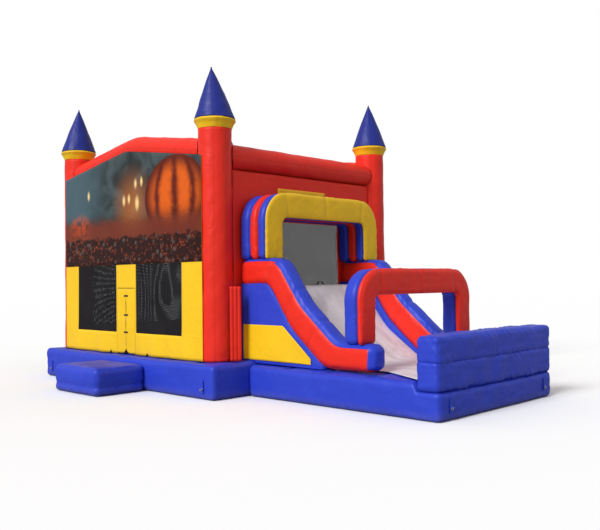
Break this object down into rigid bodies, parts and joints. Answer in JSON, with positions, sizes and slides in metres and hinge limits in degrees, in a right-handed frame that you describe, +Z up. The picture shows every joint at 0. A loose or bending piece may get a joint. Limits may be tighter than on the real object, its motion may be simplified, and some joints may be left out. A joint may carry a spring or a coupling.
{
  "type": "inflatable bounce house",
  "caption": "Inflatable castle bounce house with corner towers, net windows, a tunnel and a side slide that ends at a bumper.",
  "frame": {"origin": "centre of the house's base on the ground", "axes": "+X from the house down the slide, -Y towards the person at the entrance, +Z up"},
  "size_m": [7.7185, 5.624, 4.619],
  "materials": {
    "blue_vinyl": "satin",
    "red_vinyl": "satin",
    "yellow_vinyl": "satin",
    "spire_vinyl": "satin",
    "white_vinyl": "satin",
    "black_net": "matte",
    "black_webbing": "matte",
    "banner_print": "satin",
    "ring_steel": "satin",
    "slider_metal": "satin"
  },
  "bodies": {
    "root": {"anchor_straps": "blue_vinyl", "back_wall_frame": "yellow_vinyl", "banner": "banner_print", "blower_sleeve": "blue_vinyl", "bounce_floor": "blue_vinyl", "bumper_lower": "blue_vinyl", "bumper_upper": "blue_vinyl", "climb_handles": "black_webbing", "climb_steps": "blue_vinyl", "entrance_step": "blue_vinyl", "exit_arch_band": "blue_vinyl", "exit_arch_front": "red_vinyl", "floor_webs": "white_vinyl", "front_panel": "yellow_vinyl", "gable_beam_back": "red_vinyl", "gable_beam_front": "red_vinyl", "joining_flap": "red_vinyl", "left_wall_frame": "yellow_vinyl", "right_wall_panel": "red_vinyl", "roof_sheet": "red_vinyl", "side_beam_left": "red_vinyl", "side_beam_right": "red_vinyl", "side_patches": "yellow_vinyl", "sleeve_strap": "black_webbing", "slide_base": "blue_vinyl", "slide_cap_far": "blue_vinyl", "slide_cap_near": "blue_vinyl", "slide_core": "blue_vinyl", "slide_liner": "white_vinyl", "slide_side_far": "blue_vinyl", "slide_side_near": "blue_vinyl", "slide_wall_far": "red_vinyl", "slide_wall_near": "red_vinyl", "spire_back_left": "spire_vinyl", "spire_back_right": "spire_vinyl", "spire_front_left": "spire_vinyl", "spire_front_right": "spire_vinyl", "tower_back_left": "red_vinyl", "tower_back_right": "red_vinyl", "tower_collars": "yellow_vinyl", "tower_front_left": "red_vinyl", "tower_front_right": "red_vinyl", "tunnel_front": "yellow_vinyl", "tunnel_rib_front": "blue_vinyl", "tunnel_rib_middle": "red_vinyl", "tunnel_rib_rear": "blue_vinyl", "wall_nets": "black_net", "window_nets": "black_net", "zipper_tape": "black_webbing"},
    "door_left": {"door_flap_left": "yellow_vinyl", "door_ties_left": "black_webbing"},
    "door_right": {"door_flap_right": "yellow_vinyl", "door_ties_right": "black_webbing"},
    "ring_front_left_body": {"ring_front_left": "ring_steel"},
    "ring_front_right_body": {"ring_front_right": "ring_steel"},
    "ring_back_left_body": {"ring_back_left": "ring_steel"},
    "ring_back_right_body": {"ring_back_right": "ring_steel"},
    "ring_slide_near_body": {"ring_slide_near": "ring_steel"},
    "ring_slide_far_body": {"ring_slide_far": "ring_steel"},
    "zipper_slider_body": {"zipper_slider": "slider_metal"}
  },
  "joints": [
    {"name": "door_left_swing", "type": "hinge", "parent": "root", "child": "door_left", "pos_m": [-0.265, -1.973, 0.9925], "axis": [0, 0, 1], "range_deg": [-90, 90]},
    {"name": "door_right_swing", "type": "hinge", "parent": "root", "child": "door_right", "pos_m": [0.215, -1.973, 0.9925], "axis": [0, 0, 1], "range_deg": [-90, 90]},
    {"name": "ring_front_left_swing", "type": "hinge", "parent": "root", "child": "ring_front_left_body", "pos_m": [-2.05, -2.161, 0.15], "axis": [-1, 0, 0], "range_deg": [0, 165]},
    {"name": "ring_front_right_swing", "type": "hinge", "parent": "root", "child": "ring_front_right_body", "pos_m": [2.05, -2.161, 0.15], "axis": [-1, 0, 0], "range_deg": [0, 165]},
    {"name": "ring_back_left_swing", "type": "hinge", "parent": "root", "child": "ring_back_left_body", "pos_m": [-2.05, 2.161, 0.15], "axis": [1, 0, 0], "range_deg": [0, 165]},
    {"name": "ring_back_right_swing", "type": "hinge", "parent": "root", "child": "ring_back_right_body", "pos_m": [2.05, 2.161, 0.15], "axis": [1, 0, 0], "range_deg": [0, 165]},
    {"name": "ring_slide_near_swing", "type": "hinge", "parent": "root", "child": "ring_slide_near_body", "pos_m": [5.426, -1.302, 0.15], "axis": [0, -1, 0], "range_deg": [0, 165]},
    {"name": "ring_slide_far_swing", "type": "hinge", "parent": "root", "child": "ring_slide_far_body", "pos_m": [5.426, 0.919, 0.15], "axis": [0, -1, 0], "range_deg": [0, 165]},
    {"name": "zipper_slide", "type": "slide", "parent": "root", "child": "zipper_slider_body", "axis": [1, 0, 0], "range_m": [0, 0.58]}
  ]
}
